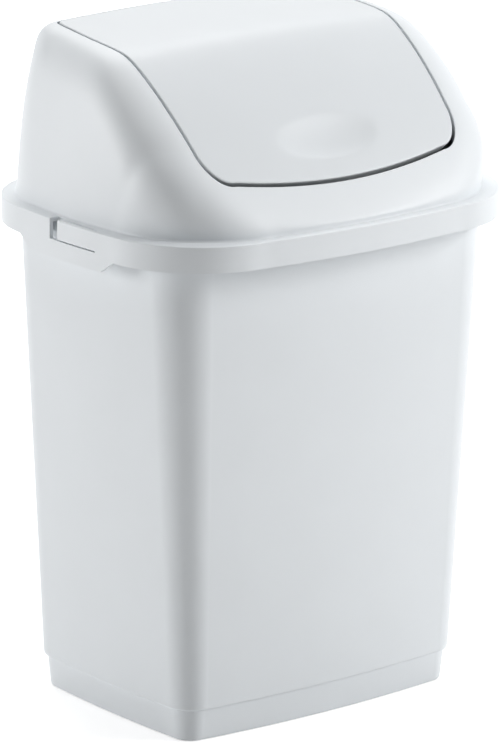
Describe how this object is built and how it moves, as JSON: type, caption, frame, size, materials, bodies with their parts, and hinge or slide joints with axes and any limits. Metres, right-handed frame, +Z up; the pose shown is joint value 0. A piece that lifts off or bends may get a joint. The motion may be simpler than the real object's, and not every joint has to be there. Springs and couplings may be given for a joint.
{
  "type": "countertop waste bin",
  "caption": "Small tapered waste bin with a clip-on hood whose bent, recessed flap swings inwards and falls shut.",
  "frame": {"origin": "centre of the base, on the surface that the bin stands on", "axes": "+Z up, front of the bin towards -Y, +X to the right of someone who looks along +Y"},
  "size_m": [0.1966, 0.155, 0.2884],
  "materials": {
    "shell": "satin white, injection moulded",
    "flap": "satin white, a shade greyer"
  },
  "bodies": {
    "bin": {"bin_body": "shell"},
    "hood": {"hood": "shell"},
    "flap": {"swing_flap": "flap"},
    "latch_left": {"latch_left": "shell"},
    "latch_right": {"latch_right": "shell"}
  },
  "joints": [
    {"name": "hood_lift", "type": "slide", "parent": "bin", "child": "hood", "axis": [0, 0, 1], "range_m": [0, 0.12]},
    {"name": "flap_swing", "type": "hinge", "parent": "hood", "child": "flap", "pos_m": [0, -0.0133, 0.2693], "axis": [1, 0, 0], "range_deg": [0, 75]},
    {"name": "latch_left_flex", "type": "hinge", "parent": "hood", "child": "latch_left", "pos_m": [-0.0975, -0.0207, 0.211], "axis": [0, 0, 1], "range_deg": [0, 6], "stiffness_Nm_per_rad": 0.5},
    {"name": "latch_right_flex", "type": "hinge", "parent": "hood", "child": "latch_right", "pos_m": [0.0975, -0.0207, 0.211], "axis": [0, 0, -1], "range_deg": [0, 6], "stiffness_Nm_per_rad": 0.5}
  ]
}
